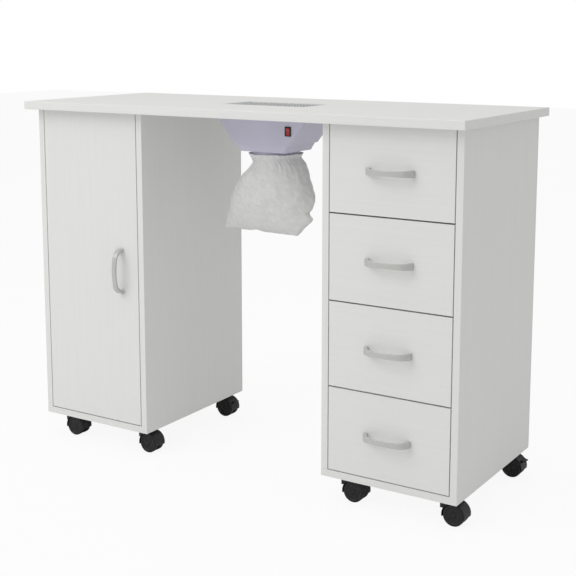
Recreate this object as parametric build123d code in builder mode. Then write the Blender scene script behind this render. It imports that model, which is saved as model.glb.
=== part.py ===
from build123d import *
import os
from math import cos, pi, radians, sin

# A manicure table: a worktop on two cabinets, a door on the left one and four drawers in
# the right one, eight twin-wheel casters, and a dust collector hung under the worktop.
# Millimetres. The origin is on the floor below the middle of the worktop. The front, with
# the door and the drawers, faces -Y, and +Z is up.

# Worktop
top_length = 1100
top_depth = 440
top_thickness = 18
worktop_height = 805
top_edge_radius = 1.2
board_edge_radius = 0.7

# Cabinets
cabinet_width = 305
cabinet_depth = 385
side_overhang = 14
front_recess = 32
panel = 15
back_thickness = 3
front_gap = 2
drawer_gap = 3
butt_gap = 0.1
rail_depth = 60
rail_setback = 3

# Shelf in the left cabinet
shelf_height = 360
shelf_side_gap = 1
shelf_setback = 28
shelf_back_gap = 4
pin_radius = 2.5
pin_inset = 60
pin_depth = 9
pin_reach = 9
pin_hole_gap = 0.05
pin_hole_pitch = 32
pin_hole_rows = 5

# Door hinges: a cup let into the door and an arm on the cabinet side
cup_radius = 17.4
cup_depth = 11
cup_bore_gap = 0.1
cup_edge_distance = 22.5
cup_flange_length = 46
cup_flange_width = 16
cup_flange_thickness = 1.2
cup_rim = 2
knuckle_width = 9
knuckle_depth = 8
knuckle_height = 13
hinge_end_distance = 100
arm_gap = 1.6
arm_length = 58
arm_width = 9
arm_height = 15
plate_length = 36
plate_height = 48
plate_thickness = 2

# Bow handles, on 96 mm screw centres
handle_centres = 96
handle_foot = 8
handle_reach = 25
handle_shoulder = 16
handle_strap = 4.6
handle_end_width = 14
handle_middle_width = 11
handle_edge = 1
handle_screw_radius = 2
handle_screw_head = 4
handle_screw_head_height = 2.2
handle_screw_grip = 7
handle_trim_past = 1
screw_gap = 0.05
clearance_hole_gap = 0.25
door_handle_edge_distance = 47

# Drawers
drawer_count = 4
box_side = 12
box_depth = 340
box_top_drop = 34
box_bottom = 3
box_lift = 22
runner_space = 12.5
runner_height = 26
runner_flange = 9
runner_sheet = 1.2
runner_lift = 42
runner_setback = 3
runner_length = 345
slide_bar_gap = 1
slide_bar_width = 2
slide_bar_setback = 3
slide_web_height = 34
tongue_thickness = 2

# Casters
caster_height = 55
caster_inset = 40
caster_trail = 22
wheel_radius = 22.5
wheel_inner = 4
wheel_width = 12
wheel_edge_radius = 2.5
wheel_inner_chamfer = 1.5
rim_width = 5.5
dish_depth = 1.6
dish_slope = 1.8
hub_cap_radius = 4.5
axle_radius = 3
axle_gap = 0.06
axle_length = 23.6
hood_radius = 25
hood_width = 34
hood_skirt = 5
hood_edge_radius = 1.2
hood_sink = 0.5
wheel_well_gap = 0.8
web_thickness = 6.4
web_radius = 18.5
boss_radius = 9
boss_gap = 0.6
boss_collar = 2
boss_nose = 6.3
plate_size = 40
plate_corner = 5
caster_plate = 2
stem_radius = 4
stem_length = 12
stem_gap = 0.05
screw_pitch = 28
screw_head_radius = 3.4
screw_head_height = 1.6
screw_radius = 1.7
screw_depth = 11
screw_tip_gap = 1

# Brake levers on the four rear casters
lever_angle = 35
lever_clearance = 0.6
lever_barrel = 2
lever_width = 13.4
lever_pin = 1.2
lever_pin_gap = 0.06
lever_reach = 8
lever_sheet = 2.4
lug_gap = 0.3
lug_thickness = 2
lug_radius = 2.8
lug_root_share = 0.13
lug_root_length = 7.3
lever_corner = 0.8

# Dust collector
cutout_length = 214
cutout_depth = 113
cutout_radius = 6
frame_flange = 11
frame_flange_thickness = 1.2
frame_rebate_gap = 0.3
frame_wall = 3
frame_gap = 0.4
frame_depth = 14
ledge_width = 4
ledge_drop = 2.7
ledge_thickness = 2
grille_gap = 0.4
grille_thickness = 1.5
grille_hole = 2.5
grille_pitch = 7.4
grille_border = 5
casing_length = 248
casing_depth = 134
casing_front = -64
casing_height = 67
casing_low_length = 148
casing_low_depth = 126
casing_radius = 8
casing_wall = 2.5
switch_cut_past = 1
tray_step = 4
tray_height = 17
tray_low_length = 120
tray_low_depth = 114
collar_radius = 54
collar_wall = 2.5
collar_length = 20
collar_y = 0
ear_length = 16
ear_width = 20
ear_thickness = 3
ear_pitch = 84
ear_sink = 8
ear_corner = 4
gland_radius = 7
gland_bore = 3.2
gland_length = 12
gland_height = 24
gland_sink = 3

# Fan
motor_radius = 25
motor_height = 30
motor_lift = 13
motor_ring = 3
motor_gap = 0.2
arm_bar = 5
arm_bar_height = 6
arm_bar_trim_x = 6
arm_bar_trim_y = 8
motor_edge_radius = 3
fan_tip_gap = 3
fan_hub_radius = 20
fan_hub_height = 15
fan_lift = 5
blade_count = 7
blade_chord = 20
blade_thickness = 1.8
blade_pitch = 35
blade_sink = 2
fan_edge_radius = 3
shaft_radius = 2.5
shaft_gap = 0.05
shaft_engagement = 14
shaft_tip_gap = 1

# Rocker switch in the front of the casing
switch_x = 72
switch_drop = 35
bezel_width = 15
bezel_height = 21
bezel_thickness = 2
bezel_corner = 1.2
switch_body_width = 13
switch_body_height = 19
switch_body_depth = 18
switch_hole_gap = 0.1
rocker_width = 9
rocker_length = 16
rocker_gap = 0.4
rocker_well_height = 17.8
rocker_well_depth = 8
rocker_tilt = 8
rocker_crown = 3.6
rocker_tip = 4.7
rocker_root = 1.6
rocker_pin = 1.2
rocker_pin_reach = 0.9
rocker_pin_gap = 0.06
rocker_pin_end_gap = 0.1

# Dust bag, a soft pouch drawn over the collar
bag_wall = 3
bag_neck_drop = 3
bag_gap = 0.3
bag_grip = 11
bag_length = 170
bag_middle = 84
bag_middle_half_width = 106
bag_middle_half_depth = 62
bag_low_half_width = 117
bag_low_half_depth = 42
bag_middle_lean = 8
bag_low_lean = 18

# Worked-out places
half_length = top_length / 2
half_depth = top_depth / 2
top_underside = worktop_height - top_thickness
cabinet_front = -half_depth + front_recess
cabinet_back = cabinet_front + cabinet_depth
side_back = cabinet_back - back_thickness
floor_top = caster_height + panel
front_back = cabinet_front + panel
left_x = (-half_length + side_overhang, -half_length + side_overhang + cabinet_width)
right_x = (-left_x[1], -left_x[0])
left_inside = (left_x[0] + panel, left_x[1] - panel)
right_inside = (right_x[0] + panel, right_x[1] - panel)
front_low = floor_top + front_gap
front_high = top_underside - front_gap
shelf_low = floor_top + shelf_height


def ease_front_edges(made):
    """Rounds the two upright front edges of the panel being built."""
    fillet(made.edges().filter_by(Axis.Z).group_by(Axis.Y)[0], board_edge_radius)


def board(low, high, eased=False):
    """A flat panel between its lowest and its highest corner, its front edges eased if asked."""
    with BuildPart() as made:
        with BuildSketch(Plane.XY.offset(low[2])):
            with Locations(((low[0] + high[0]) / 2, (low[1] + high[1]) / 2)):
                Rectangle(high[0] - low[0], high[1] - low[1])
        extrude(amount=high[2] - low[2])
        if eased:
            ease_front_edges(made)
    return made


def upright_at(y):
    """An upright plane at that y: local x is +X, local y is +Z, and it faces -Y."""
    return Plane.XZ.offset(-y)


def save(made, name):
    made.part.label = name
    export_step(made.part, f"parts/{name}.step")


os.makedirs("parts", exist_ok=True)

# Casters stand in the corners of each cabinet: front pair, then rear pair.
caster_places = []
for cabinet_x in (left_x, right_x):
    for y in (cabinet_front + caster_inset, cabinet_back - caster_inset):
        for x in (cabinet_x[0] + caster_inset, cabinet_x[1] - caster_inset):
            caster_places.append((x, y))

# Worktop

collector_screws = [
    (side * (casing_length / 2 + ear_length / 2), casing_front + casing_depth / 2 + end * ear_pitch / 2)
    for side in (-1, 1)
    for end in (-1, 1)
]
with BuildPart() as tabletop:
    with BuildSketch(Plane.XY.offset(top_underside)):
        Rectangle(top_length, top_depth)
        RectangleRounded(cutout_length, cutout_depth, cutout_radius, mode=Mode.SUBTRACT)
    extrude(amount=top_thickness)
    rim = [
        edge
        for edge in tabletop.edges()
        if abs(abs(edge.center().X) - half_length) < 0.01 or abs(abs(edge.center().Y) - half_depth) < 0.01
    ]
    fillet(rim, top_edge_radius)
    with BuildSketch(Plane.XY.offset(top_underside)):
        with Locations(*collector_screws):
            Circle(screw_radius + screw_gap)
    extrude(amount=screw_depth, mode=Mode.SUBTRACT)
    with BuildSketch(Plane.XY.offset(worktop_height)):
        RectangleRounded(
            cutout_length + 2 * (frame_flange + frame_rebate_gap),
            cutout_depth + 2 * (frame_flange + frame_rebate_gap),
            cutout_radius + frame_flange + frame_rebate_gap,
        )
    extrude(amount=-frame_flange_thickness, mode=Mode.SUBTRACT)
save(tabletop, "tabletop")

# Cabinet panels


def pin_side(x, inside_face, into):
    """A side of the left cabinet, with two rows of shelf-pin holes in its inside face."""
    with BuildPart() as made:
        with BuildSketch(Plane.XY.offset(floor_top)):
            with Locations((x + panel / 2, (cabinet_front + side_back) / 2)):
                Rectangle(panel, side_back - cabinet_front)
        extrude(amount=top_underside - floor_top)
        ease_front_edges(made)
        with BuildSketch(Plane.YZ.offset(inside_face)):
            for y in pin_rows:
                for step in range(pin_hole_rows):
                    z = shelf_low - pin_radius + (step - pin_hole_rows // 2) * pin_hole_pitch
                    with Locations((y, z)):
                        Circle(pin_radius + pin_hole_gap)
        extrude(amount=into * (pin_depth + pin_hole_gap), mode=Mode.SUBTRACT)
    return made


pin_rows = (cabinet_front + pin_inset, side_back - pin_inset)
save(pin_side(left_x[0], left_inside[0], -1), "left_outer_side")
save(pin_side(left_inside[1], left_inside[1], 1), "left_inner_side")
right_inner_side = board(
    (right_x[0], cabinet_front, floor_top), (right_inside[0], side_back, top_underside), True
)
save(right_inner_side, "right_inner_side")
right_outer_side = board(
    (right_inside[1], cabinet_front, floor_top), (right_x[1], side_back, top_underside), True
)
save(right_outer_side, "right_outer_side")

with BuildPart() as cabinet_bottoms:
    with BuildSketch(Plane.XY.offset(caster_height)):
        for cabinet_x in (left_x, right_x):
            with Locations((sum(cabinet_x) / 2, (cabinet_front + side_back) / 2)):
                Rectangle(cabinet_width, side_back - cabinet_front)
    extrude(amount=panel)
    with BuildSketch(Plane.XY.offset(caster_height)):
        with Locations(*caster_places):
            with GridLocations(screw_pitch, screw_pitch, 2, 2):
                Circle(screw_radius + screw_gap)
    extrude(amount=screw_depth, mode=Mode.SUBTRACT)
save(cabinet_bottoms, "cabinet_bottoms")

with BuildPart() as back_panels:
    with BuildSketch(Plane.XY.offset(caster_height)):
        for cabinet_x in (left_x, right_x):
            with Locations((sum(cabinet_x) / 2, (side_back + cabinet_back) / 2)):
                Rectangle(cabinet_width, back_thickness)
    extrude(amount=top_underside - caster_height)
save(back_panels, "back_panels")

with BuildPart() as top_rails:
    with BuildSketch(Plane.XY.offset(top_underside - panel)):
        for inside in (left_inside, right_inside):
            for y in (front_back + rail_setback + rail_depth / 2, side_back - rail_depth / 2):
                with Locations((sum(inside) / 2, y)):
                    Rectangle(inside[1] - inside[0], rail_depth)
    extrude(amount=panel)
save(top_rails, "top_rails")

shelf = board(
    (left_inside[0] + shelf_side_gap, cabinet_front + shelf_setback, shelf_low),
    (left_inside[1] - shelf_side_gap, side_back - shelf_back_gap, shelf_low + panel),
)
save(shelf, "shelf")

# Handles


def bow_handle(face, grip):
    """A bow handle on a face. The face's x runs along the handle and its z points outwards.

    Its two screws come from behind, through a board as thick as grip.
    """
    plan = Plane(origin=face.origin, x_dir=face.x_dir, z_dir=face.x_dir.cross(face.z_dir))
    end = handle_centres / 2 + handle_foot / 2
    past = end + handle_trim_past
    shoulder = handle_centres / 2 - handle_shoulder
    with BuildPart() as made:
        with BuildSketch(plan):
            with BuildLine():
                rise = TangentArc((-end, 0), (-shoulder, handle_reach), tangent=(0, 1))
                bow = TangentArc((-shoulder, handle_reach), (shoulder, handle_reach), tangent=rise % 1)
                fall = TangentArc((end, 0), (shoulder, handle_reach), tangent=(0, 1))
                lean = rise % 1
                inner_x = shoulder - lean.Y * handle_strap
                inner_y = handle_reach - lean.X * handle_strap
                Line((end, 0), (end - handle_foot, 0))
                TangentArc((end - handle_foot, 0), (inner_x, inner_y), tangent=(0, 1))
                TangentArc((-inner_x, inner_y), (inner_x, inner_y), tangent=lean)
                TangentArc((-end + handle_foot, 0), (-inner_x, inner_y), tangent=(0, 1))
                Line((-end + handle_foot, 0), (-end, 0))
            make_face()
        extrude(amount=handle_end_width / 2, both=True)
        with BuildSketch(face):
            with BuildLine():
                ThreePointArc(
                    (-past, handle_end_width / 2),
                    (0, handle_middle_width / 2),
                    (past, handle_end_width / 2),
                )
                Line((past, handle_end_width / 2), (past, -handle_end_width / 2))
                ThreePointArc(
                    (past, -handle_end_width / 2),
                    (0, -handle_middle_width / 2),
                    (-past, -handle_end_width / 2),
                )
                Line((-past, -handle_end_width / 2), (-past, handle_end_width / 2))
            make_face()
        extrude(amount=handle_reach * 2, mode=Mode.INTERSECT)
        long_edges = [edge for edge in made.edges() if edge.length > handle_strap * 3]
        fillet(long_edges, handle_edge)
        with BuildSketch(face):
            with GridLocations(handle_centres, 0, 2, 1):
                Circle(handle_screw_radius + screw_gap)
        extrude(amount=handle_screw_grip + screw_gap, mode=Mode.SUBTRACT)
        with BuildSketch(face.offset(-grip)):
            with GridLocations(handle_centres, 0, 2, 1):
                Circle(handle_screw_radius)
        extrude(amount=grip + handle_screw_grip)
        with BuildSketch(face.offset(-grip)):
            with GridLocations(handle_centres, 0, 2, 1):
                Circle(handle_screw_head)
        extrude(amount=-handle_screw_head_height)
    return made


def handle_holes(face, grip):
    """Cuts the two clearance holes for a handle's screws through the part being built."""
    with BuildSketch(face) as holes:
        with GridLocations(handle_centres, 0, 2, 1):
            Circle(handle_screw_radius + clearance_hole_gap)
    extrude(holes.sketch, amount=-grip, mode=Mode.SUBTRACT)


# Door, with its handle and hinges

door_x = (left_inside[0] + front_gap, left_inside[1] - front_gap)
hinge_heights = (front_low + hinge_end_distance, front_high - hinge_end_distance)
cup_x = door_x[0] + cup_edge_distance
door_face = Plane(
    origin=(door_x[1] - door_handle_edge_distance, cabinet_front, (front_low + front_high) / 2),
    x_dir=(0, 0, 1),
    z_dir=(0, -1, 0),
)
with BuildPart() as door:
    with BuildSketch(upright_at(front_back)):
        with Locations((sum(door_x) / 2, (front_low + front_high) / 2)):
            Rectangle(door_x[1] - door_x[0], front_high - front_low)
    extrude(amount=panel)
    fillet(door.faces().sort_by(Axis.Y)[0].edges(), board_edge_radius)
    with BuildSketch(upright_at(front_back)):
        for z in hinge_heights:
            with Locations((cup_x, z)):
                Circle(cup_radius + cup_bore_gap)
    extrude(amount=cup_depth + cup_bore_gap, mode=Mode.SUBTRACT)
    handle_holes(door_face, panel)
save(door, "door")
save(bow_handle(door_face, panel), "door_handle")

with BuildPart() as hinge_cups:
    with BuildSketch(upright_at(front_back)):
        for z in hinge_heights:
            with Locations((cup_x, z)):
                Circle(cup_radius)
    extrude(amount=cup_depth)
    with BuildSketch(upright_at(front_back)):
        for z in hinge_heights:
            with Locations((cup_x, z)):
                RectangleRounded(cup_flange_width, cup_flange_length, cup_flange_width / 4)
                Circle(cup_radius + cup_rim)
    extrude(amount=-cup_flange_thickness)
    with BuildSketch(upright_at(front_back)):
        for z in hinge_heights:
            with Locations((cup_x - cup_flange_width / 2 + knuckle_width / 2, z)):
                Rectangle(knuckle_width, knuckle_height)
    extrude(amount=-knuckle_depth)
save(hinge_cups, "hinge_cups")

arm_front = front_back + knuckle_depth + arm_gap
with BuildPart() as hinge_arms:
    with BuildSketch(Plane.YZ.offset(left_inside[0])):
        for z in hinge_heights:
            with Locations((arm_front + arm_length - plate_length / 2, z)):
                RectangleRounded(plate_length, plate_height, plate_length / 6)
    extrude(amount=plate_thickness)
    with BuildSketch(Plane.YZ.offset(left_inside[0])):
        for z in hinge_heights:
            with Locations((arm_front + arm_length / 2, z)):
                RectangleRounded(arm_length, arm_height, arm_height / 4)
    extrude(amount=arm_width)
save(hinge_arms, "hinge_arms")

# Drawers, numbered from the top

front_height = (front_high - front_low - drawer_gap * (drawer_count - 1)) / drawer_count
drawer_x = (right_inside[0] + front_gap, right_inside[1] - front_gap)
box_x = (right_inside[0] + runner_space, right_inside[1] - runner_space)
box_height = front_height - box_lift - box_top_drop
box_back = front_back + box_depth
runner_ends = (front_back + runner_setback, front_back + runner_setback + runner_length)
slide_reach = runner_space - runner_sheet - slide_bar_setback - butt_gap


def drawer_low(number):
    return front_high - number * front_height - (number - 1) * drawer_gap


def runner_middle(number):
    return drawer_low(number) + box_lift + runner_lift


def drawer_box(low):
    """Two sides, a back and a bottom, each a separate board."""
    walls_low = low + box_bottom + butt_gap
    with BuildPart() as made:
        with BuildSketch(Plane.XY.offset(low)):
            with Locations((sum(box_x) / 2, (front_back + butt_gap + box_back) / 2)):
                Rectangle(box_x[1] - box_x[0], box_depth - butt_gap)
        extrude(amount=box_bottom)
        with BuildSketch(Plane.XY.offset(walls_low)):
            for x in (box_x[0] + box_side / 2, box_x[1] - box_side / 2):
                with Locations((x, (front_back + butt_gap + box_back) / 2)):
                    Rectangle(box_side, box_depth - butt_gap)
            with Locations((sum(box_x) / 2, box_back - box_side / 2)):
                Rectangle(box_x[1] - box_x[0] - 2 * (box_side + butt_gap), box_side)
        extrude(amount=box_height - box_bottom - butt_gap)
    return made


def drawer_slides(middle):
    """A pair of folded steel slides on the box, each with a bar that runs in a channel."""
    back = min(runner_ends[1], box_back)
    with BuildPart() as made:
        with BuildSketch(upright_at(back)):
            for wall, inwards in ((box_x[0], -1), (box_x[1], 1)):
                web = wall + inwards * (butt_gap + runner_sheet / 2)
                bar = wall + inwards * (butt_gap + runner_sheet + slide_reach - slide_bar_width / 2)
                tongue = wall + inwards * (butt_gap + runner_sheet + slide_reach) / 2
                with Locations((web, middle)):
                    Rectangle(runner_sheet, slide_web_height)
                with Locations((tongue + inwards * butt_gap / 2, middle)):
                    Rectangle(runner_sheet + slide_reach, tongue_thickness)
                with Locations((bar, middle)):
                    Rectangle(slide_bar_width, runner_height - 2 * (runner_sheet + slide_bar_gap))
        extrude(amount=back - runner_ends[0])
    return made


for number in range(1, drawer_count + 1):
    low = drawer_low(number)
    face = Plane(
        origin=(sum(drawer_x) / 2, cabinet_front, low + front_height / 2),
        x_dir=(1, 0, 0),
        z_dir=(0, -1, 0),
    )
    with BuildPart() as drawer_front:
        with BuildSketch(face.offset(-panel)):
            Rectangle(drawer_x[1] - drawer_x[0], front_height)
        extrude(amount=panel)
        fillet(drawer_front.faces().sort_by(Axis.Y)[0].edges(), board_edge_radius)
        handle_holes(face, panel)
    save(drawer_front, f"drawer_{number}_front")
    save(bow_handle(face, panel), f"drawer_{number}_handle")
    save(drawer_box(low + box_lift), f"drawer_{number}_box")
    save(drawer_slides(runner_middle(number)), f"drawer_{number}_slides")

with BuildPart() as cabinet_runners:
    with BuildSketch(upright_at(runner_ends[1])):
        for number in range(1, drawer_count + 1):
            middle = runner_middle(number)
            for wall, inwards in ((right_inside[0], 1), (right_inside[1], -1)):
                with Locations((wall + inwards * runner_flange / 2, middle)):
                    Rectangle(runner_flange, runner_height)
                hollow = runner_flange - runner_sheet
                with Locations((wall + inwards * (runner_flange + runner_sheet) / 2, middle)):
                    Rectangle(hollow, runner_height - 2 * runner_sheet, mode=Mode.SUBTRACT)
    extrude(amount=runner_ends[1] - runner_ends[0])
save(cabinet_runners, "cabinet_runners")

# Casters

plate_low = caster_height - caster_plate
with BuildPart() as caster_plates:
    with BuildSketch(Plane.XY.offset(plate_low)):
        with Locations(*caster_places):
            RectangleRounded(plate_size, plate_size, plate_corner)
            with GridLocations(screw_pitch, screw_pitch, 2, 2):
                Circle(screw_radius + clearance_hole_gap, mode=Mode.SUBTRACT)
    extrude(amount=caster_plate)
    with BuildSketch(Plane.XY.offset(plate_low)):
        with Locations(*caster_places):
            Circle(stem_radius)
    extrude(amount=-stem_length)
save(caster_plates, "caster_plates")


def caster_hood(x, y, braked):
    """The swivelling body: a fender over both wheels, a web between them and a boss on the stem."""
    wheel = (x + caster_trail, wheel_radius)
    middle = upright_at(y)
    boss_top = plate_low - boss_gap
    with BuildPart() as made:
        with BuildSketch(middle):
            with Locations(wheel):
                Circle(hood_radius)
            with Locations((wheel[0], wheel[1] - hood_skirt - hood_radius)):
                Rectangle(hood_radius * 3, hood_radius * 2, mode=Mode.SUBTRACT)
        extrude(amount=hood_width / 2, both=True)
        crown = [
            edge
            for edge in made.edges()
            if edge.geom_type == GeomType.CIRCLE and abs(abs(edge.center().Y - y) - hood_width / 2) < 0.01
        ]
        fillet(crown, hood_edge_radius)
        with BuildSketch(middle):
            with BuildLine():
                Polyline(
                    (x - boss_radius, wheel_radius + boss_radius),
                    (x - boss_radius, boss_top - boss_collar),
                    (x + boss_nose, boss_top - boss_collar),
                    (x + caster_trail, wheel_radius + hood_radius - hood_sink),
                    (x + caster_trail, wheel_radius),
                    (x, wheel_radius + boss_radius),
                    close=True,
                )
            make_face()
        extrude(amount=boss_radius, both=True)
        with BuildSketch(Plane.XY.offset(wheel_radius + boss_radius)):
            with Locations((x, y)):
                Circle(boss_radius)
        extrude(amount=boss_top - wheel_radius - boss_radius)
        if braked:
            pivot = lever_pivot(x)
            to_wheel = [lug_root_share * (wheel[axis] - pivot[axis]) for axis in range(2)]
            with BuildSketch(middle):
                with Locations(pivot):
                    Circle(lug_radius)
                with Locations((pivot[0] + to_wheel[0], pivot[1] + to_wheel[1])):
                    Rectangle(lug_radius * 2, lug_root_length, rotation=lever_angle - 90)
            lugs = extrude(amount=lever_width / 2 + lug_gap + lug_thickness, both=True, mode=Mode.PRIVATE)
            with BuildSketch(middle):
                with Locations(wheel):
                    Circle(hood_radius * 2)
                    Circle(hood_radius - hood_sink, mode=Mode.SUBTRACT)
            gap = extrude(amount=lever_width / 2 + lug_gap, both=True, mode=Mode.PRIVATE)
            add(lugs - gap)
        for side in (-1, 1):
            with BuildSketch(middle.offset(side * (web_thickness / 2))):
                with Locations(wheel):
                    Circle(wheel_radius + wheel_well_gap)
            extrude(amount=side * hood_width, mode=Mode.SUBTRACT)
        with BuildSketch(middle):
            with Locations(wheel):
                Circle(web_radius)
        extrude(amount=web_thickness / 2, both=True)
        with BuildSketch(middle):
            with Locations(wheel):
                Circle(axle_radius + axle_gap)
        extrude(amount=hood_width, both=True, mode=Mode.SUBTRACT)
        if braked:
            with BuildSketch(middle):
                with Locations(lever_pivot(x)):
                    Circle(lever_pin + lever_pin_gap)
            extrude(amount=hood_width, both=True, mode=Mode.SUBTRACT)
        with BuildSketch(Plane.XY.offset(boss_top)):
            with Locations((x, y)):
                Circle(stem_radius + stem_gap)
        extrude(amount=-stem_length, mode=Mode.SUBTRACT)
    return made


def lever_pivot(x):
    """Where the brake lever's pin sits, on the trailing side of the hood."""
    reach = hood_radius + lever_clearance + lever_barrel
    return (
        x + caster_trail + reach * cos(radians(lever_angle)),
        wheel_radius + reach * sin(radians(lever_angle)),
    )


def caster_wheels(x, y):
    """A pair of wheels with dished faces, and the axle that joins them."""
    centre = (x + caster_trail, y, wheel_radius)
    outer = wheel_inner + wheel_width
    rim = wheel_radius - rim_width
    with BuildPart() as made:
        with BuildSketch(Plane(origin=centre, x_dir=(0, 1, 0), z_dir=(1, 0, 0))):
            with BuildLine():
                Polyline(
                    (outer, 0),
                    (outer, hub_cap_radius),
                    (outer - dish_depth, hub_cap_radius + dish_slope),
                    (outer - dish_depth, rim - dish_slope),
                    (outer, rim),
                    (outer, wheel_radius - wheel_edge_radius),
                )
                RadiusArc(
                    (outer, wheel_radius - wheel_edge_radius),
                    (outer - wheel_edge_radius, wheel_radius),
                    -wheel_edge_radius,
                )
                Polyline(
                    (outer - wheel_edge_radius, wheel_radius),
                    (wheel_inner + wheel_inner_chamfer, wheel_radius),
                    (wheel_inner, wheel_radius - wheel_inner_chamfer),
                    (wheel_inner, axle_radius + screw_gap),
                    (axle_length / 2 + screw_gap, axle_radius + screw_gap),
                    (axle_length / 2 + screw_gap, 0),
                    (outer, 0),
                )
            make_face()
        revolve(axis=Axis(centre, (0, 1, 0)))
        mirror(about=upright_at(y))
        with BuildSketch(upright_at(y)):
            with Locations((centre[0], centre[2])):
                Circle(axle_radius)
        extrude(amount=axle_length / 2, both=True)
    return made


def brake_lever(x, y):
    """A pedal on a barrel, with a pin end each side in the hood's lugs."""
    pivot = lever_pivot(x)
    with BuildPart() as made:
        with BuildSketch(upright_at(y)):
            with Locations(pivot):
                Circle(lever_barrel)
            with Locations((pivot[0] + lever_reach / 2, pivot[1] + lever_barrel - lever_sheet / 2)):
                RectangleRounded(lever_reach, lever_sheet, lever_corner)
        extrude(amount=lever_width / 2, both=True)
        with BuildSketch(upright_at(y)):
            with Locations(pivot):
                Circle(lever_pin)
        extrude(amount=lever_width / 2 + lug_gap + lug_thickness, both=True)
    return made


for number, (x, y) in enumerate(caster_places, start=1):
    braked = y > 0
    save(caster_hood(x, y, braked), f"caster_{number}_hood")
    save(caster_wheels(x, y), f"caster_{number}_wheels")
    if braked:
        save(brake_lever(x, y), f"caster_{number}_brake")

# Dust collector: frame and grille in the worktop

frame_top = worktop_height
ledge_top = frame_top - ledge_drop
with BuildPart() as grille_frame:
    with BuildSketch(Plane.XY.offset(frame_top)):
        RectangleRounded(
            cutout_length + 2 * frame_flange, cutout_depth + 2 * frame_flange, cutout_radius + frame_flange
        )
    extrude(amount=-frame_flange_thickness)
    with BuildSketch(Plane.XY.offset(frame_top)):
        RectangleRounded(cutout_length - 2 * frame_gap, cutout_depth - 2 * frame_gap, cutout_radius)
    extrude(amount=-frame_depth)
    well_length = cutout_length - 2 * (frame_gap + frame_wall)
    well_depth = cutout_depth - 2 * (frame_gap + frame_wall)
    with BuildSketch(Plane.XY.offset(frame_top)):
        RectangleRounded(well_length, well_depth, cutout_radius / 2)
    extrude(amount=-ledge_drop, mode=Mode.SUBTRACT)
    with BuildSketch(Plane.XY.offset(ledge_top)):
        RectangleRounded(well_length - 2 * ledge_width, well_depth - 2 * ledge_width, cutout_radius / 2)
    extrude(amount=-ledge_thickness, mode=Mode.SUBTRACT)
    with BuildSketch(Plane.XY.offset(ledge_top - ledge_thickness)):
        RectangleRounded(well_length, well_depth, cutout_radius / 2)
    extrude(amount=-frame_depth, mode=Mode.SUBTRACT)
    lip = grille_frame.faces().sort_by(Axis.Z)[-1].outer_wire().edges()
    fillet(lip, frame_flange_thickness / 2)
save(grille_frame, "grille_frame")

plate_length_x = well_length - 2 * grille_gap
plate_depth_y = well_depth - 2 * grille_gap
columns = int((plate_length_x - 2 * (grille_border + ledge_width)) / grille_pitch)
rows = int((plate_depth_y - 2 * (grille_border + ledge_width)) / (grille_pitch * cos(pi / 6)))
with BuildPart() as grille:
    with BuildSketch(Plane.XY.offset(ledge_top)):
        RectangleRounded(plate_length_x, plate_depth_y, cutout_radius / 2)
        holes = []
        for row in range(rows):
            for column in range(columns):
                shift = grille_pitch / 4 if row % 2 else -grille_pitch / 4
                holes.append(
                    (
                        (column - (columns - 1) / 2) * grille_pitch + shift,
                        (row - (rows - 1) / 2) * grille_pitch * cos(pi / 6),
                    )
                )
        with Locations(*holes):
            Circle(grille_hole, mode=Mode.SUBTRACT)
    extrude(amount=grille_thickness)
save(grille, "grille")

# Dust collector: casing

casing_top = top_underside
lip_z = casing_top - casing_height
tray_floor = lip_z - tray_height
casing_middle = casing_front + casing_depth / 2
low_middle = casing_front + casing_low_depth / 2
switch_z = casing_top - switch_drop
motor_low = tray_floor + motor_lift
fan_low = tray_floor - collar_length + fan_lift
fan_radius = collar_radius - collar_wall - fan_tip_gap


def casing_loft(top, low, heights, middles, shrink, mode):
    """One stage of the casing between two rounded rectangles, smaller all round by shrink."""
    sections = []
    for (length, depth), z, middle in zip((top, low), heights, middles):
        with BuildSketch(Plane.XY.offset(z)) as section:
            with Locations((0, middle)):
                RectangleRounded(length - 2 * shrink, depth - 2 * shrink, casing_radius - shrink)
        sections.append(section.sketch.face())
    loft(sections, mode=mode)


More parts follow.
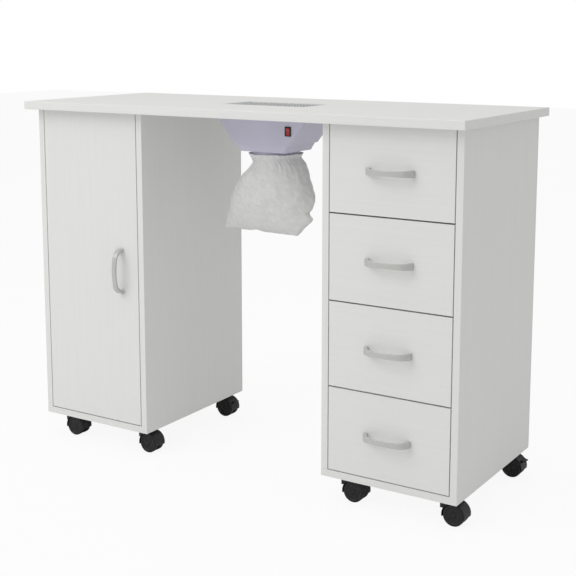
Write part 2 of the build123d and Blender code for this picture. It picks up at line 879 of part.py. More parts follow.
upper = (
    (casing_length, casing_depth),
    (casing_low_length, casing_low_depth),
    (casing_top, lip_z),
    (casing_middle, low_middle),
)
tray = (
    (casing_low_length - 2 * tray_step, casing_low_depth - 2 * tray_step),
    (tray_low_length, tray_low_depth),
    (lip_z, tray_floor),
    (low_middle, collar_y),
)
with BuildPart() as collector_casing:
    casing_loft(*upper, 0, Mode.ADD)
    casing_loft(*tray, 0, Mode.ADD)
    with BuildSketch(Plane.XY.offset(tray_floor)):
        with Locations((0, collar_y)):
            Circle(collar_radius)
    extrude(amount=-collar_length)
    with BuildSketch(Plane.XY.offset(casing_top)):
        for side in (-1, 1):
            for end in (-1, 1):
                ear_x = side * (casing_length + ear_length - ear_sink) / 2
                with Locations((ear_x, casing_middle + end * ear_pitch / 2)):
                    RectangleRounded(ear_length + ear_sink, ear_width, ear_corner)
    extrude(amount=-ear_thickness)
    casing_loft(
        upper[0],
        upper[1],
        (casing_top, lip_z + casing_wall),
        (casing_middle, low_middle),
        casing_wall,
        Mode.SUBTRACT,
    )
    casing_loft(
        tray[0],
        tray[1],
        (lip_z, tray_floor + casing_wall),
        (low_middle, collar_y),
        casing_wall,
        Mode.SUBTRACT,
    )
    with BuildSketch(Plane.XY.offset(lip_z)):
        with Locations((0, low_middle)):
            RectangleRounded(
                casing_low_length - 2 * (tray_step + casing_wall),
                casing_low_depth - 2 * (tray_step + casing_wall),
                casing_radius - casing_wall,
            )
    extrude(amount=casing_wall, mode=Mode.SUBTRACT)
    with BuildSketch(Plane.XY.offset(tray_floor - collar_length)):
        with Locations((0, collar_y)):
            Circle(collar_radius - collar_wall)
    extrude(amount=collar_length + casing_wall * 2, mode=Mode.SUBTRACT)
    with BuildSketch(Plane.XY.offset(motor_low)):
        with Locations((0, collar_y)):
            Rectangle(casing_low_length - 2 * tray_step - arm_bar_trim_x, arm_bar)
            Rectangle(arm_bar, casing_low_depth - 2 * tray_step - arm_bar_trim_y)
            Circle(motor_radius + motor_gap + motor_ring)
            Circle(motor_radius + motor_gap, mode=Mode.SUBTRACT)
    extrude(amount=arm_bar_height)
    with BuildSketch(upright_at(casing_front + casing_wall + switch_cut_past)):
        with Locations((switch_x, switch_z)):
            Rectangle(switch_body_width + 2 * switch_hole_gap, switch_body_height + 2 * switch_hole_gap)
    extrude(amount=casing_wall + 2 * switch_cut_past, mode=Mode.SUBTRACT)
    with BuildSketch(Plane.XY.offset(casing_top - ear_thickness)):
        with Locations(*collector_screws):
            Circle(screw_radius + clearance_hole_gap)
    extrude(amount=ear_thickness, mode=Mode.SUBTRACT)
    slope = (casing_depth - casing_low_depth) / casing_height
    gland_y = casing_front + casing_low_depth + slope * gland_height
    with BuildSketch(upright_at(gland_y - gland_sink)):
        with Locations((0, lip_z + gland_height)):
            Circle(gland_radius)
    extrude(amount=-gland_length)
    with BuildSketch(upright_at(gland_y + gland_length)):
        with Locations((0, lip_z + gland_height)):
            Circle(gland_bore)
    extrude(amount=gland_length * 2, mode=Mode.SUBTRACT)
save(collector_casing, "collector_casing")

# Motor and fan

with BuildPart() as motor:
    with BuildSketch(Plane.XY.offset(motor_low)):
        with Locations((0, collar_y)):
            Circle(motor_radius)
    extrude(amount=motor_height)
    fillet(motor.faces().sort_by(Axis.Z)[-1].edges(), motor_edge_radius)
    with BuildSketch(Plane.XY.offset(motor_low)):
        with Locations((0, collar_y)):
            Circle(shaft_radius + shaft_gap)
    extrude(amount=shaft_engagement + shaft_tip_gap, mode=Mode.SUBTRACT)
save(motor, "motor")

with BuildPart() as impeller:
    with BuildSketch(Plane.XY.offset(fan_low)):
        with Locations((0, collar_y)):
            Circle(fan_hub_radius)
    extrude(amount=fan_hub_height)
    fillet(impeller.faces().sort_by(Axis.Z)[0].edges(), fan_edge_radius)
    blade_middle = fan_low + fan_hub_height / 2
    for blade in range(blade_count):
        turn = 2 * pi * blade / blade_count
        radial = (cos(turn), sin(turn), 0)
        root = (
            radial[0] * (fan_hub_radius - blade_sink),
            collar_y + radial[1] * (fan_hub_radius - blade_sink),
            blade_middle,
        )
        with BuildSketch(Plane(origin=root, x_dir=(-radial[1], radial[0], 0), z_dir=radial)):
            Rectangle(blade_chord, blade_thickness, rotation=blade_pitch)
        extrude(amount=fan_radius - fan_hub_radius)
    with BuildSketch(Plane.XY.offset(fan_low)):
        with Locations((0, collar_y)):
            Circle(shaft_radius)
    extrude(amount=motor_low + shaft_engagement - fan_low)
save(impeller, "impeller")

# Rocker switch

pivot_y = casing_front + bezel_thickness
rocker_pivot = (switch_x, pivot_y, switch_z)
with BuildPart() as switch_body:
    with BuildSketch(upright_at(casing_front)):
        with Locations((switch_x, switch_z)):
            RectangleRounded(bezel_width, bezel_height, bezel_corner)
    extrude(amount=bezel_thickness)
    with BuildSketch(upright_at(casing_front)):
        with Locations((switch_x, switch_z)):
            Rectangle(switch_body_width, switch_body_height)
    extrude(amount=-switch_body_depth)
    with BuildSketch(upright_at(casing_front - bezel_thickness)):
        with Locations((switch_x, switch_z)):
            Rectangle(rocker_width + 2 * rocker_gap, rocker_well_height)
    extrude(amount=-rocker_well_depth, mode=Mode.SUBTRACT)
    with BuildSketch(Plane(origin=rocker_pivot, x_dir=(0, 1, 0), z_dir=(1, 0, 0))):
        Circle(rocker_pin + rocker_pin_gap)
    extrude(amount=rocker_width / 2 + rocker_gap + rocker_pin_reach, both=True, mode=Mode.SUBTRACT)
save(switch_body, "switch_body")

tilt = radians(rocker_tilt)
with BuildPart() as rocker:
    with BuildSketch(Plane(origin=rocker_pivot, x_dir=(0, -sin(tilt), cos(tilt)), z_dir=(1, 0, 0))):
        with BuildLine():
            Polyline(
                (-rocker_length / 2, 0),
                (-rocker_length / 2, rocker_tip),
                (0, rocker_crown),
                (rocker_length / 2, rocker_tip),
                (rocker_length / 2, 0),
                (rocker_length / 4, -rocker_root),
                (-rocker_length / 4, -rocker_root),
                close=True,
            )
        make_face()
    extrude(amount=rocker_width / 2, both=True)
    with BuildSketch(Plane(origin=rocker_pivot, x_dir=(0, 1, 0), z_dir=(1, 0, 0))):
        Circle(rocker_pin)
    extrude(amount=rocker_width / 2 + rocker_gap + rocker_pin_reach - rocker_pin_end_gap, both=True)
save(rocker, "rocker")

# Dust bag

bag_mouth = tray_floor - collar_length + bag_grip
bag_foot = tray_floor - collar_length - bag_length
bag_radius = collar_radius + bag_gap + bag_wall


def bag_form(shrink, top, foot, mode):
    """The pouch: a sleeve round the collar that flares to a broad, flat foot."""
    neck = tray_floor - collar_length - bag_neck_drop
    waist = neck - bag_middle
    with BuildSketch(Plane.XY.offset(neck)) as mouth:
        with Locations((0, collar_y)):
            Circle(bag_radius - shrink)
    extrude(mouth.sketch, amount=top - neck, mode=mode)
    with BuildSketch(Plane.XY.offset(waist)) as middle:
        with Locations((-bag_middle_lean, collar_y)):
            Ellipse(bag_middle_half_width - shrink, bag_middle_half_depth - shrink)
    with BuildSketch(Plane.XY.offset(foot)) as low:
        with Locations((-bag_low_lean, collar_y)):
            Ellipse(bag_low_half_width - shrink, bag_low_half_depth - shrink)
    loft([mouth.sketch.face(), middle.sketch.face(), low.sketch.face()], mode=mode)


with BuildPart() as dust_bag:
    bag_form(0, bag_mouth, bag_foot, Mode.ADD)
    bag_form(bag_wall, bag_mouth, bag_foot + bag_wall, Mode.SUBTRACT)
save(dust_bag, "dust_bag")

# Screws and shelf pins

with BuildPart() as screws_and_pins:
    with BuildSketch(Plane.XY.offset(plate_low)):
        with Locations(*caster_places):
            with GridLocations(screw_pitch, screw_pitch, 2, 2):
                Circle(screw_head_radius)
    extrude(amount=-screw_head_height)
    with BuildSketch(Plane.XY.offset(plate_low)):
        with Locations(*caster_places):
            with GridLocations(screw_pitch, screw_pitch, 2, 2):
                Circle(screw_radius)
    extrude(amount=caster_plate + screw_depth - screw_tip_gap)
    with BuildSketch(Plane.XY.offset(casing_top - ear_thickness)):
        with Locations(*collector_screws):
            Circle(screw_head_radius)
    extrude(amount=-screw_head_height)
    with BuildSketch(Plane.XY.offset(casing_top - ear_thickness)):
        with Locations(*collector_screws):
            Circle(screw_radius)
    extrude(amount=ear_thickness + screw_depth - screw_tip_gap)
    for face_x, inwards in ((left_inside[0], 1), (left_inside[1], -1)):
        with BuildSketch(Plane.YZ.offset(face_x - inwards * pin_depth)):
            with Locations(*[(y, shelf_low - pin_radius) for y in pin_rows]):
                Circle(pin_radius)
        extrude(amount=inwards * (pin_depth + pin_reach))
save(screws_and_pins, "screws_and_pins")
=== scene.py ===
import bpy
import math
import random
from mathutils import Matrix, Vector, noise


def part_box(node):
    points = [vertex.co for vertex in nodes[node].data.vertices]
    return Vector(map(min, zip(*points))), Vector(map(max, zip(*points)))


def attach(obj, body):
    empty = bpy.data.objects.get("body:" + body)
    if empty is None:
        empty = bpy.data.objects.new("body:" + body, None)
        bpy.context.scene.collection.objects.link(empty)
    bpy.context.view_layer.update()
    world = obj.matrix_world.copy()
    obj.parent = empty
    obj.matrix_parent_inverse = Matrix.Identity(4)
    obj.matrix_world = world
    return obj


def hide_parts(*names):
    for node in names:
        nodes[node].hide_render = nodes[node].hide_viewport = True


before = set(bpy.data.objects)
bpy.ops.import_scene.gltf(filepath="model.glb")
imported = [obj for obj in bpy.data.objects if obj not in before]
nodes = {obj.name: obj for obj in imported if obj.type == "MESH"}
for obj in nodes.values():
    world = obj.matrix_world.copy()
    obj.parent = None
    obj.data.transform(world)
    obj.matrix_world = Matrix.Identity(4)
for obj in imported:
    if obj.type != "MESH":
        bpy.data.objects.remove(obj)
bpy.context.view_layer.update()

# A white manicure table: melamine boards, bow handles, black casters, and a dust collector
# with its bag under the worktop. Metres, and the same frame as the CAD model.

mm = 0.001


# colour and node helpers

def shade(hexColour):
    # sRGB hex to the linear values that the shaders work in
    channels = [int(hexColour[i:i + 2], 16) / 255 for i in (0, 2, 4)]
    linear = [c / 12.92 if c <= 0.04045 else ((c + 0.055) / 1.055) ** 2.4 for c in channels]
    return (*linear, 1.0)


def addNode(tree, kind, settings=(), inputs=()):
    # one node with its settings, and each input either linked or given its value
    made = tree.nodes.new(kind)
    for name, value in dict(settings).items():
        setattr(made, name, value)
    for name, value in dict(inputs).items():
        if isinstance(value, bpy.types.NodeSocket):
            tree.links.new(value, made.inputs[name])
        else:
            made.inputs[name].default_value = value
    return made


def newMaterial(name):
    material = bpy.data.materials.new(name)
    material.use_nodes = True
    tree = material.node_tree
    tree.nodes.clear()
    place = addNode(tree, "ShaderNodeTexCoord").outputs["Object"]
    return material, tree, place


def finishMaterial(tree, shader):
    addNode(tree, "ShaderNodeOutputMaterial", inputs={"Surface": shader.outputs[0]})


def ramp(tree, factor, low, high, colours):
    # a colour between two, as the factor goes from low to high
    made = addNode(tree, "ShaderNodeValToRGB", inputs={"Fac": factor})
    made.color_ramp.elements[0].position = low
    made.color_ramp.elements[1].position = high
    made.color_ramp.elements[0].color = colours[0]
    made.color_ramp.elements[1].color = colours[1]
    return made.outputs["Color"]


def roughnessBetween(tree, factor, low, high):
    return addNode(tree, "ShaderNodeMapRange", inputs={
        "Value": factor, "From Min": 0.3, "From Max": 0.7, "To Min": low, "To Max": high}).outputs[0]


# materials

# melamine-faced chipboard, pressed against a plate with a faint wood grain: nearly plain
# white, with pale streaks along the grain and a fine satin texture that breaks up gloss
melamine = {
    "colour": ("e6e6e4", "e9e9e7"), "grainWidth": 7.0, "grainLength": 260.0,
    "textureGrain": 1.6, "roughness": (0.34, 0.44), "relief": 0.05}


def melamineBoard(name, along):
    material, tree, place = newMaterial(name)
    fine = [1000 / melamine["grainWidth"]] * 3
    fine["XYZ".index(along)] = 1000 / melamine["grainLength"]
    stretched = addNode(tree, "ShaderNodeMapping", inputs={"Vector": place, "Scale": fine})
    grain = addNode(tree, "ShaderNodeTexNoise", inputs={
        "Vector": stretched.outputs[0], "Scale": 1.0, "Detail": 5.0, "Roughness": 0.62})
    tone = ramp(tree, grain.outputs["Fac"], 0.32, 0.7, [shade(c) for c in melamine["colour"]])
    press = addNode(tree, "ShaderNodeTexNoise", inputs={
        "Vector": place, "Scale": 1000 / melamine["textureGrain"], "Detail": 2.0})
    pores = addNode(tree, "ShaderNodeMath", {"operation": "ADD"}, {
        0: press.outputs["Fac"], 1: grain.outputs["Fac"]})
    relief = addNode(tree, "ShaderNodeBump", inputs={
        "Height": pores.outputs[0], "Strength": melamine["relief"], "Distance": 0.2 * mm})
    board = addNode(tree, "ShaderNodeBsdfPrincipled", inputs={
        "Base Color": tone, "Normal": relief.outputs[0],
        "Roughness": roughnessBetween(tree, grain.outputs["Fac"], *melamine["roughness"])})
    board.inputs["IOR"].default_value = 1.5
    finishMaterial(tree, board)
    return material


whiteAlongX = melamineBoard("melamine_along_x", "X")
whiteAlongY = melamineBoard("melamine_along_y", "Y")
whiteAlongZ = melamineBoard("melamine_along_z", "Z")

# hardboard with a rolled white face: matt, with a soft mottle of pressed fibres
hardboard = {"colour": ("d6d6d3", "e0e0dd"), "fibre": 3.0, "roughness": (0.55, 0.7)}


def rolledHardboard():
    material, tree, place = newMaterial("hardboard_rolled_white")
    fibres = addNode(tree, "ShaderNodeTexNoise", inputs={
        "Vector": place, "Scale": 1000 / hardboard["fibre"], "Detail": 6.0, "Roughness": 0.7})
    relief = addNode(tree, "ShaderNodeBump", inputs={
        "Height": fibres.outputs["Fac"], "Strength": 0.15, "Distance": 0.2 * mm})
    sheet = addNode(tree, "ShaderNodeBsdfPrincipled", inputs={
        "Base Color": ramp(
            tree, fibres.outputs["Fac"], 0.35, 0.65, [shade(c) for c in hardboard["colour"]]),
        "Normal": relief.outputs[0],
        "Roughness": roughnessBetween(tree, fibres.outputs["Fac"], *hardboard["roughness"])})
    finishMaterial(tree, sheet)
    return material


hardboardWhite = rolledHardboard()


def mouldedPlastic(name, colour, roughness, texture, relief, ior=1.5):
    # injection-moulded plastic: an even colour with a slight drift of tone and the mould's
    # spark-eroded texture, whose grain is texture millimetres wide
    material, tree, place = newMaterial(name)
    drift = addNode(tree, "ShaderNodeTexNoise", inputs={"Vector": place, "Scale": 14.0, "Detail": 3.0})
    tone = ramp(tree, drift.outputs["Fac"], 0.3, 0.7, [shade(c) for c in colour])
    spark = addNode(tree, "ShaderNodeTexNoise", inputs={
        "Vector": place, "Scale": 1000 / texture, "Detail": 2.0, "Roughness": 0.6})
    bump = addNode(tree, "ShaderNodeBump", inputs={
        "Height": spark.outputs["Fac"], "Strength": relief, "Distance": 0.15 * mm})
    plastic = addNode(tree, "ShaderNodeBsdfPrincipled", inputs={
        "Base Color": tone, "Normal": bump.outputs[0], "IOR": ior,
        "Roughness": roughnessBetween(tree, spark.outputs["Fac"], *roughness)})
    finishMaterial(tree, plastic)
    return material


# ABS housing, moulded: the lavender of the collector, semi-gloss
absLavender = mouldedPlastic("abs_moulded_lavender", ("cecbde", "d4d1e4"), (0.32, 0.42), 1.2, 0.06)
# ABS frame round the grille, white
absWhite = mouldedPlastic("abs_moulded_white", ("e2e2e2", "eaeaea"), (0.3, 0.38), 1.2, 0.05)
# glass-filled nylon: caster hoods, nearly black with a satin bloom
nylonHood = mouldedPlastic("nylon_moulded_hood", ("0a0a0b", "101012"), (0.4, 0.52), 0.9, 0.08)
# nylon wheels, a shade more worn than the hoods
nylonWheel = mouldedPlastic("nylon_moulded_wheel", ("0b0b0c", "131314"), (0.46, 0.6), 0.8, 0.1)
# polypropylene fan
polypropyleneFan = mouldedPlastic(
    "polypropylene_moulded_fan", ("1b1b1d", "262629"), (0.5, 0.62), 1.0, 0.1)
# switch bezel, glossy black nylon
nylonSwitch = mouldedPlastic("nylon_moulded_switch", ("0b0b0c", "121213"), (0.22, 0.32), 0.9, 0.06)
# switch rocker, red polycarbonate that a lamp can shine through
polycarbonateRed = mouldedPlastic(
    "polycarbonate_moulded_red", ("a8241c", "c1372a"), (0.16, 0.24), 1.0, 0.03, 1.58)


def lacqueredMetal(name, colour, metallic, roughness, flake):
    # lacquer with a fine aluminium flake on die-cast zinc: soft, silvery, no hard reflections
    material, tree, place = newMaterial(name)
    flakes = addNode(tree, "ShaderNodeTexVoronoi", inputs={"Vector": place, "Scale": 1000 / flake})
    tone = ramp(tree, flakes.outputs["Distance"], 0.1, 0.8, [shade(c) for c in colour])
    bump = addNode(tree, "ShaderNodeBump", inputs={
        "Height": flakes.outputs["Distance"], "Strength": 0.06, "Distance": 0.1 * mm})
    lacquer = addNode(tree, "ShaderNodeBsdfPrincipled", inputs={
        "Base Color": tone, "Metallic": metallic, "Normal": bump.outputs[0],
        "Roughness": roughnessBetween(tree, flakes.outputs["Distance"], *roughness),
        "Coat Weight": 0.25, "Coat Roughness": 0.2})
    finishMaterial(tree, lacquer)
    return material


zincLacquered = lacqueredMetal("zinc_lacquered_silver", ("bcbcb9", "cacac7"), 0.3, (0.34, 0.42), 0.8)
steelEpoxy = lacqueredMetal("steel_epoxy_white", ("d9d9d8", "e3e3e2"), 0.0, (0.38, 0.5), 1.4)
steelEnamelled = lacqueredMetal("steel_enamelled_grey", ("b4b8b7", "c2c6c5"), 0.15, (0.34, 0.44), 1.1)


def platedSteel(name, colour, roughness, brushing):
    # bright plating on pressed steel: a faint cloudy tone and the rolling marks under it
    material, tree, place = newMaterial(name)
    rolled = addNode(tree, "ShaderNodeMapping", inputs={
        "Vector": place, "Scale": (1000 / brushing, 1000 / brushing, 60.0)})
    marks = addNode(tree, "ShaderNodeTexNoise", inputs={
        "Vector": rolled.outputs[0], "Scale": 1.0, "Detail": 3.0})
    cloud = addNode(tree, "ShaderNodeTexNoise", inputs={"Vector": place, "Scale": 120.0, "Detail": 3.0})
    bump = addNode(tree, "ShaderNodeBump", inputs={
        "Height": marks.outputs["Fac"], "Strength": 0.12, "Distance": 0.1 * mm})
    steel = addNode(tree, "ShaderNodeBsdfPrincipled", inputs={
        "Base Color": ramp(tree, cloud.outputs["Fac"], 0.3, 0.7, [shade(c) for c in colour]),
        "Metallic": 1.0, "Normal": bump.outputs[0],
        "Roughness": roughnessBetween(tree, marks.outputs["Fac"], *roughness)})
    finishMaterial(tree, steel)
    return material


steelNickel = platedSteel("steel_nickel_plated", ("b9b7ae", "cfcdc4"), (0.22, 0.34), 0.9)
steelZinc = platedSteel("steel_zinc_plated", ("a4a8ac", "bfc3c6"), (0.28, 0.42), 0.9)


def dress(material, *names):
    for name in names:
        for place in nodes[name].material_slots:
            place.material = material


dress(whiteAlongX, "tabletop", "cabinet_bottoms", "top_rails", "shelf")
dress(whiteAlongZ, "left_outer_side", "left_inner_side", "right_inner_side", "right_outer_side", "door")
dress(hardboardWhite, "back_panels")
dress(steelNickel, "hinge_arms", "hinge_cups")
dress(steelZinc, "caster_plates", "screws_and_pins", "motor")
dress(steelEpoxy, "cabinet_runners")
dress(zincLacquered, "door_handle")
for drawer in range(1, 5):
    dress(whiteAlongX, f"drawer_{drawer}_front")
    dress(whiteAlongY, f"drawer_{drawer}_box")
    dress(zincLacquered, f"drawer_{drawer}_handle")
    dress(steelEpoxy, f"drawer_{drawer}_slides")
for caster in range(1, 9):
    dress(nylonHood, f"caster_{caster}_hood")
    dress(nylonWheel, f"caster_{caster}_wheels")
    if f"caster_{caster}_brake" in nodes:
        dress(nylonHood, f"caster_{caster}_brake")
dress(absLavender, "collector_casing")
dress(absWhite, "grille_frame")
dress(steelEnamelled, "grille")
dress(polypropyleneFan, "impeller")
dress(nylonSwitch, "switch_body")
dress(polycarbonateRed, "rocker")
print("materials on", len(nodes), "nodes")

# stage, lights and camera

floor = {
    "size": 24.0, "colour": ("e8e8e7", "ececeb"), "glow": 0.05, "whiteness": 0.9,
    "roughness": 0.6, "drift": 3.0}


def makeFloor():
    material, tree, place = newMaterial("floor_painted_white")
    grain = addNode(tree, "ShaderNodeTexNoise", inputs={
        "Vector": place, "Scale": floor["drift"], "Detail": 4.0})
    paint = addNode(tree, "ShaderNodeBsdfPrincipled", inputs={
        "Base Color": ramp(tree, grain.outputs["Fac"], 0.3, 0.7, [shade(c) for c in floor["colour"]]),
        "Roughness": floor["roughness"],
        "Emission Color": shade("ffffff"), "Emission Strength": floor["glow"]})
    # mostly white to the camera, so only a trace of the contact shadows shows
    lit = addNode(tree, "ShaderNodeEmission", inputs={"Color": shade("ffffff"), "Strength": 1.0})
    path = addNode(tree, "ShaderNodeLightPath")
    share = addNode(tree, "ShaderNodeMath", {"operation": "MULTIPLY"}, {
        0: path.outputs["Is Camera Ray"], 1: floor["whiteness"]})
    mixed = addNode(tree, "ShaderNodeMixShader", inputs={
        0: share.outputs[0], 1: paint.outputs[0], 2: lit.outputs[0]})
    finishMaterial(tree, mixed)
    mesh = bpy.data.meshes.new("floor")
    half = floor["size"] / 2
    corners = [(-half, -half, 0), (half, -half, 0), (half, half, 0), (-half, half, 0)]
    mesh.from_pydata(corners, [], [(0, 1, 2, 3)])
    made = bpy.data.objects.new("floor", mesh)
    bpy.context.scene.collection.objects.link(made)
    mesh.materials.append(material)


room = {"fill": 0.6, "seen": 1.0}


def makeWorld():
    # the room gives even fill, and looks white behind the object
    world = bpy.data.worlds.new("studio")
    bpy.context.scene.world = world
    world.use_nodes = True
    tree = world.node_tree
    tree.nodes.clear()
    fill = addNode(tree, "ShaderNodeBackground", inputs={
        "Color": shade("ffffff"), "Strength": room["fill"]})
    seen = addNode(tree, "ShaderNodeBackground", inputs={
        "Color": shade("ffffff"), "Strength": room["seen"]})
    path = addNode(tree, "ShaderNodeLightPath")
    mixed = addNode(tree, "ShaderNodeMixShader", inputs={
        0: path.outputs["Is Camera Ray"], 1: fill.outputs[0], 2: seen.outputs[0]})
    addNode(tree, "ShaderNodeOutputWorld", inputs={"Surface": mixed.outputs[0]})


def makeLight(name, place, aim, size, power):
    lamp = bpy.data.lights.new(name, "AREA")
    lamp.size = size
    lamp.energy = power
    made = bpy.data.objects.new(name, lamp)
    made.location = place
    made.rotation_euler = (Vector(aim) - Vector(place)).to_track_quat("-Z", "Y").to_euler()
    bpy.context.scene.collection.objects.link(made)


camera = {
    "at": (1.408, -2.181, 0.968), "turn": 32.26, "tilt": -8.78, "lens": 73.06, "sensor": 36,
    "shift": -0.135}


def makeCamera():
    data = bpy.data.cameras.new("camera")
    data.lens = camera["lens"]
    data.sensor_width = camera["sensor"]
    data.shift_y = camera["shift"]
    made = bpy.data.objects.new("camera", data)
    made.location = camera["at"]
    made.rotation_euler = (math.radians(90 + camera["tilt"]), 0, math.radians(camera["turn"]))
    bpy.context.scene.collection.objects.link(made)
    bpy.context.scene.camera = made


bpy.context.scene.view_settings.view_transform = "Standard"
makeFloor()
makeWorld()
makeLight("key", (-1.6, -2.8, 2.8), (0, 0, 0.45), 2.4, 45)
makeLight("overhead", (0.2, -0.3, 3.2), (0, 0, 0.4), 2.4, 17)
makeCamera()
print("stage, lights and camera")

# spunbonded polypropylene, heat-pressed with small diamond points: a matt, slightly furry
# white that lets a little light through and shows every crease
spunbond = {"colour": ("dedede", "ececec"), "pointPitch": 2.4, "fibre": 0.9, "roughness": (0.78, 0.92)}


def pressedSpunbond():
    material, tree, place = newMaterial("polypropylene_spunbonded_white")
    turned = addNode(tree, "ShaderNodeMapping", inputs={
        "Vector": place, "Rotation": (0.0, math.radians(45), 0.0)})
    points = addNode(tree, "ShaderNodeTexVoronoi", {"feature": "F1", "distance": "CHEBYCHEV"}, {
        "Vector": turned.outputs[0], "Scale": 1000 / spunbond["pointPitch"], "Randomness": 0.12})
    fibres = addNode(tree, "ShaderNodeTexNoise", inputs={
        "Vector": place, "Scale": 1000 / spunbond["fibre"], "Detail": 4.0, "Roughness": 0.7})
    cloud = addNode(tree, "ShaderNodeTexNoise", inputs={
        "Vector": place, "Scale": 90.0, "Detail": 5.0, "Roughness": 0.65})
    height = addNode(tree, "ShaderNodeMath", {"operation": "MULTIPLY_ADD"}, {
        0: points.outputs["Distance"], 1: 1.4, 2: fibres.outputs["Fac"]})
    relief = addNode(tree, "ShaderNodeBump", inputs={
        "Height": height.outputs[0], "Strength": 0.32, "Distance": 0.3 * mm})
    cloth = addNode(tree, "ShaderNodeBsdfPrincipled", inputs={
        "Base Color": ramp(
            tree, cloud.outputs["Fac"], 0.3, 0.7, [shade(c) for c in spunbond["colour"]]),
        "Normal": relief.outputs[0],
        "Roughness": roughnessBetween(tree, fibres.outputs["Fac"], *spunbond["roughness"]),
        "Subsurface Weight": 0.12, "Subsurface Radius": (1.0, 1.0, 1.0), "Subsurface Scale": 2 * mm,
        "Sheen Weight": 0.2, "Sheen Roughness": 0.5})
    finishMaterial(tree, cloth)
    return material


spunbondWhite = pressedSpunbond()

# the dust bag: a pouch welded from flat cloth, gathered by an elastic on the collar, and
# hanging a little to the left with its lower right corner tucked under
dustBag = {
    "around": 300, "rows": 76, "hemRows": 9, "seed": 5, "elasticRadius": 56.0, "hemRise": 9,
    "hemFlare": 3.4, "hemWaves": 31, "pleats": 46, "pleatDepth": 4.2, "thickness": 0.35,
    # how far the elastic sits above the collar's end, and the sleeve that leads down from it
    "elasticLift": 5, "sleeve": 9, "elasticWave": 0.4,
    # the foot: where it begins, its length, and how its lower right corner tucks up and in
    "footFrom": 110, "footLength": 58, "tuckRise": 26, "tuckIn": 8,
    # a bump in the foot seam, and a dent in the right side: place, width and depth
    "bump": (-52, 13, 3.2), "dent": (118, 9, 9),
    # broad and fine crumple, the sharp creases, and how much the foot smooths them
    "crumple": (3.4, 0.9, 1.5), "footSmooth": 0.8,
    # how far below the collar's end, centre in x, half width and half depth, and how lens-like
    "stations": (
        (0, 6, 57, 56, 0.0), (9, 8, 62, 58, 0.02), (23, 4, 74, 60, 0.06), (35, 0, 83, 61, 0.1),
        (65, -5.5, 100, 56, 0.2), (84, -9.5, 109, 50, 0.3), (114, -16.5, 111, 38, 0.42),
        (138, -17, 117, 26, 0.5), (154, -22, 116, 15, 0.55), (168, -29, 111, 1.2, 0.6))}


def between(stations, at):
    # the stations' values at a depth, along a smooth Catmull-Rom curve
    for i in range(len(stations) - 2):
        if at < stations[i + 1][0]:
            break
    one, two = stations[i], stations[i + 1]
    before = stations[max(i - 1, 0)]
    after = stations[min(i + 2, len(stations) - 1)]
    t = (at - one[0]) / (two[0] - one[0])
    values = []
    for a, b, c, d in zip(before[1:], one[1:], two[1:], after[1:]):
        curve = 2 * b + (c - a) * t + (2 * a - 5 * b + 4 * c - d) * t * t
        values.append((curve + (3 * b - a - 3 * c + d) * t ** 3) / 2)
    return values


def makePleats(seed):
    # each gather under the elastic: where it starts, how wide, deep and long it is, and its lean
    dice = random.Random(seed)
    count = dustBag["pleats"]
    pleats = []
    for n in range(count):
        pleats.append((
            (n + dice.uniform(-0.32, 0.32)) * 2 * math.pi / count, dice.uniform(0.035, 0.075),
            dice.uniform(0.4, 1.0) * dustBag["pleatDepth"], dice.uniform(18, 70),
            dice.uniform(-0.12, 0.12)))
    return pleats


def pleatDepth(pleats, angle, down):
    deep = 0
    for start, width, depth, length, lean in pleats:
        apart = (angle - start - lean * down / length + math.pi) % (2 * math.pi) - math.pi
        spread = width * (1 + 1.3 * down / length)
        if abs(apart) < 3 * spread:
            deep += depth * math.exp(-(apart / spread) ** 2 - (down / length) ** 1.6)
    return deep


def bagPoint(pleats, angle, down, low):
    # a point of the hanging cloth, down millimetres below the elastic; low is the collar's end
    centre, wide, deep, lens = between(dustBag["stations"], down)
    side, front = math.cos(angle), math.sin(angle)
    x = centre + wide * side
    y = deep * front * abs(front) ** lens
    foot = max(0.0, min(1.0, (down - dustBag["footFrom"]) / dustBag["footLength"]))
    z = low - down
    tuck = max(0.0, side - 0.72) / 0.28  # the lower right corner, tucked under
    left = max(0.0, -side - 0.8) / 0.2
    bumpAt, bumpWidth, bumpRise = dustBag["bump"]
    dentAt, dentWidth, dentDepth = dustBag["dent"]
    bump = bumpRise * math.exp(-((x - bumpAt) / bumpWidth) ** 2)
    z += foot ** 1.5 * (dustBag["tuckRise"] * tuck ** 1.3 - 1.5 * left + bump - 1.5 * side)
    dent = dentDepth * math.exp(-((down - dentAt) / dentWidth) ** 2) * max(0, side) ** 6
    x -= foot * dustBag["tuckIn"] * tuck + dent
    out = Vector((side * deep, front * wide, 0)).normalized()
    broad, fine, sharp = dustBag["crumple"]
    crumple = noise.noise(Vector((x * 0.03, y * 0.03, z * 0.035 + 7))) * broad
    crumple += noise.noise(Vector((x * 0.075 + 3, y * 0.075, z * 0.06))) * fine
    crease = 1 - abs(noise.noise(Vector((x * 0.045 + z * 0.03, y * 0.05, z * 0.022 - x * 0.02))))
    crumple += (crease ** 6 - 0.3) * sharp
    ease = min(1.0, down / 30) * (1 - dustBag["footSmooth"] * foot)
    push = crumple * ease - pleatDepth(pleats, angle, down)
    return Vector((x, y, z)) + out * push


def hemWave(angle):
    # the ruffle round the elastic, from -1 to 1
    return math.sin(angle * dustBag["hemWaves"] + 2.2 * math.sin(angle * 3 + 1))


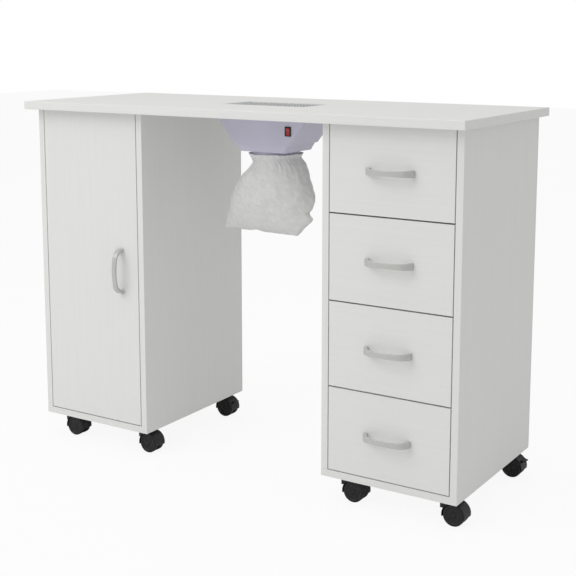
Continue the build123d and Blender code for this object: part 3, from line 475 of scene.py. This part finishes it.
def makeBag():
    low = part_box("collector_casing")[0].z / mm  # the collar's lower end
    pleats = makePleats(dustBag["seed"])
    around, rows, hemRows = dustBag["around"], dustBag["rows"], dustBag["hemRows"]
    top = low + dustBag["elasticLift"]
    middle = (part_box("dust_bag")[0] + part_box("dust_bag")[1]).y / 2 / mm
    rings = []
    for row in range(hemRows):  # the hem, ruffled above the elastic
        up = 1 - row / hemRows
        ring = []
        for n in range(around):
            angle = 2 * math.pi * n / around
            wave = hemWave(angle)
            wave += 0.7 * noise.noise(Vector((math.cos(angle) * 6, math.sin(angle) * 6, 2)))
            reach = dustBag["elasticRadius"] + up ** 1.3 * dustBag["hemFlare"]
            reach += (dustBag["elasticWave"] + 1.5 * up) * (wave + 1) / 2
            high = top + up * dustBag["hemRise"] + up * 1.2 * noise.noise(
                Vector((math.cos(angle) * 3, math.sin(angle) * 3, 9)))
            ring.append(Vector((reach * math.cos(angle), reach * math.sin(angle), high)))
        rings.append(ring)
    full = dustBag["stations"][-1][0]
    for row in range(rows + 1):
        share = row / rows
        down = full * (0.35 * share ** 2 + 0.65 * share)
        ring = []
        for n in range(around):
            angle = 2 * math.pi * n / around
            point = bagPoint(pleats, angle, down, low)
            # the gathers leave the elastic from its own circle
            sleeve = max(0.0, 1 - down / dustBag["sleeve"])
            reach = dustBag["elasticRadius"] + dustBag["elasticWave"] * (hemWave(angle) + 1) / 2
            held = Vector((
                reach * math.cos(angle), reach * math.sin(angle),
                top - down * dustBag["elasticLift"] / dustBag["sleeve"]))
            ring.append(point.lerp(held, sleeve ** 1.5))
        rings.append(ring)
    mesh = bpy.data.meshes.new("dust_bag_cloth")
    points = [(p.x * mm, (p.y + middle) * mm, p.z * mm) for ring in rings for p in ring]
    faces = []
    for row in range(len(rings) - 1):
        for n in range(around):
            one, two = row * around + n, row * around + (n + 1) % around
            faces.append((one, one + around, two + around, two))
    last = (len(rings) - 1) * around  # the foot seam: the front and back layers welded together
    for n in range(1, around // 2 - 1):
        faces.append((last + n, last + around - n, last + around - n - 1, last + n + 1))
    faces.append((last, last + around - 1, last + 1))
    faces.append((last + around // 2, last + around // 2 - 1, last + around // 2 + 1))
    mesh.from_pydata(points, [], faces)
    made = bpy.data.objects.new("dust_bag_cloth", mesh)
    bpy.context.scene.collection.objects.link(made)
    return made


bagCloth = makeBag()
mesh = bagCloth.data
mesh.materials.append(spunbondWhite)
for face in mesh.polygons:
    face.use_smooth = True
skin = bagCloth.modifiers.new("cloth thickness", "SOLIDIFY")
skin.thickness = dustBag["thickness"] * mm
skin.offset = 0
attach(bagCloth, "table")
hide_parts("dust_bag")
print("dust bag")
